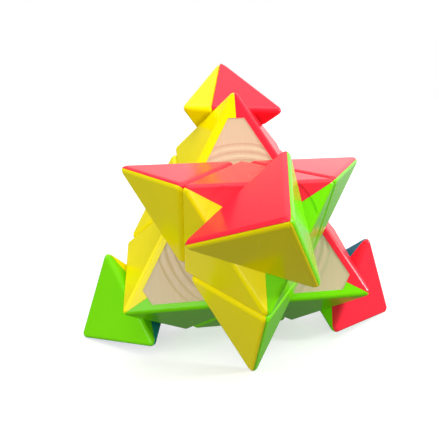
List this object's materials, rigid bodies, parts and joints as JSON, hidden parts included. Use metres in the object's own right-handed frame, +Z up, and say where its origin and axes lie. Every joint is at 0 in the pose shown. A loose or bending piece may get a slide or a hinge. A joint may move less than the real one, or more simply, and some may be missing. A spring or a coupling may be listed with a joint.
{
  "type": "pyramid twisty puzzle",
  "caption": "Tetrahedral twisty puzzle with coloured caps on turning tips, centres and edges round a sprung core, shown with its front layer and tips part turned.",
  "frame": {"origin": "middle of the box that holds the standing puzzle, on the table plane", "axes": "+Z up, -Y towards the front corner, +X to the puzzle's right as seen from the front"},
  "size_m": [0.0934, 0.0882, 0.0783],
  "materials": {
    "cap_red": "high-gloss moulded ABS, through-coloured red",
    "cap_yellow": "high-gloss moulded ABS, through-coloured yellow",
    "cap_green": "high-gloss moulded ABS, through-coloured green",
    "cap_blue": "high-gloss moulded ABS, through-coloured blue",
    "frame_cream": "smooth cream moulded ABS, semi-matt",
    "spider_black": "black moulded nylon",
    "steel_screw": "zinc-plated steel",
    "steel_spring": "drawn spring steel",
    "steel_washer": "plain steel"
  },
  "bodies": {
    "rear_block": {"core_spider": "spider_black", "axis_screws": "steel_screw", "axis_springs": "steel_spring", "axis_washers": "steel_washer", "centre_top_frame": "frame_cream", "centre_top_cap_red": "cap_red", "centre_top_cap_yellow": "cap_yellow", "centre_top_cap_blue": "cap_blue", "centre_left_frame": "frame_cream", "centre_left_cap_yellow": "cap_yellow", "centre_left_cap_green": "cap_green", "centre_left_cap_blue": "cap_blue", "centre_right_frame": "frame_cream", "centre_right_cap_red": "cap_red", "centre_right_cap_green": "cap_green", "centre_right_cap_blue": "cap_blue", "edge_yellow_blue_frame": "frame_cream", "edge_yellow_blue_cap_yellow": "cap_yellow", "edge_yellow_blue_cap_blue": "cap_blue", "edge_red_blue_frame": "frame_cream", "edge_red_blue_cap_red": "cap_red", "edge_red_blue_cap_blue": "cap_blue", "edge_green_blue_frame": "frame_cream", "edge_green_blue_cap_green": "cap_green", "edge_green_blue_cap_blue": "cap_blue"},
    "front_layer": {"centre_front_frame": "frame_cream", "centre_front_cap_red": "cap_red", "centre_front_cap_yellow": "cap_yellow", "centre_front_cap_green": "cap_green", "edge_red_yellow_frame": "frame_cream", "edge_red_yellow_cap_red": "cap_red", "edge_red_yellow_cap_yellow": "cap_yellow", "edge_yellow_green_frame": "frame_cream", "edge_yellow_green_cap_yellow": "cap_yellow", "edge_yellow_green_cap_green": "cap_green", "edge_red_green_frame": "frame_cream", "edge_red_green_cap_red": "cap_red", "edge_red_green_cap_green": "cap_green"},
    "tip_front": {"tip_front_core": "frame_cream", "tip_front_cap_red": "cap_red", "tip_front_cap_yellow": "cap_yellow", "tip_front_cap_green": "cap_green"},
    "tip_top": {"tip_top_core": "frame_cream", "tip_top_cap_red": "cap_red", "tip_top_cap_yellow": "cap_yellow", "tip_top_cap_blue": "cap_blue"},
    "tip_left": {"tip_left_core": "frame_cream", "tip_left_cap_yellow": "cap_yellow", "tip_left_cap_green": "cap_green", "tip_left_cap_blue": "cap_blue"},
    "tip_right": {"tip_right_core": "frame_cream", "tip_right_cap_red": "cap_red", "tip_right_cap_green": "cap_green", "tip_right_cap_blue": "cap_blue"}
  },
  "joints": [
    {"name": "front_layer_turn", "type": "hinge", "parent": "rear_block", "child": "front_layer", "pos_m": [-0.00001, 0.01083, 0.03159], "axis": [0, -0.9632, 0.2689], "continuous": true},
    {"name": "tip_front_turn", "type": "hinge", "parent": "front_layer", "child": "tip_front", "pos_m": [-0.00001, 0.01083, 0.03159], "axis": [0, -0.9632, 0.2689], "continuous": true},
    {"name": "tip_top_turn", "type": "hinge", "parent": "rear_block", "child": "tip_top", "pos_m": [-0.00001, 0.01083, 0.03159], "axis": [0, 0.5745, 0.8185], "continuous": true},
    {"name": "tip_left_turn", "type": "hinge", "parent": "rear_block", "child": "tip_left", "pos_m": [-0.00001, 0.01083, 0.03159], "axis": [-0.8165, 0.1943, -0.5437], "continuous": true},
    {"name": "tip_right_turn", "type": "hinge", "parent": "rear_block", "child": "tip_right", "pos_m": [-0.00001, 0.01083, 0.03159], "axis": [0.8165, 0.1943, -0.5437], "continuous": true}
  ]
}
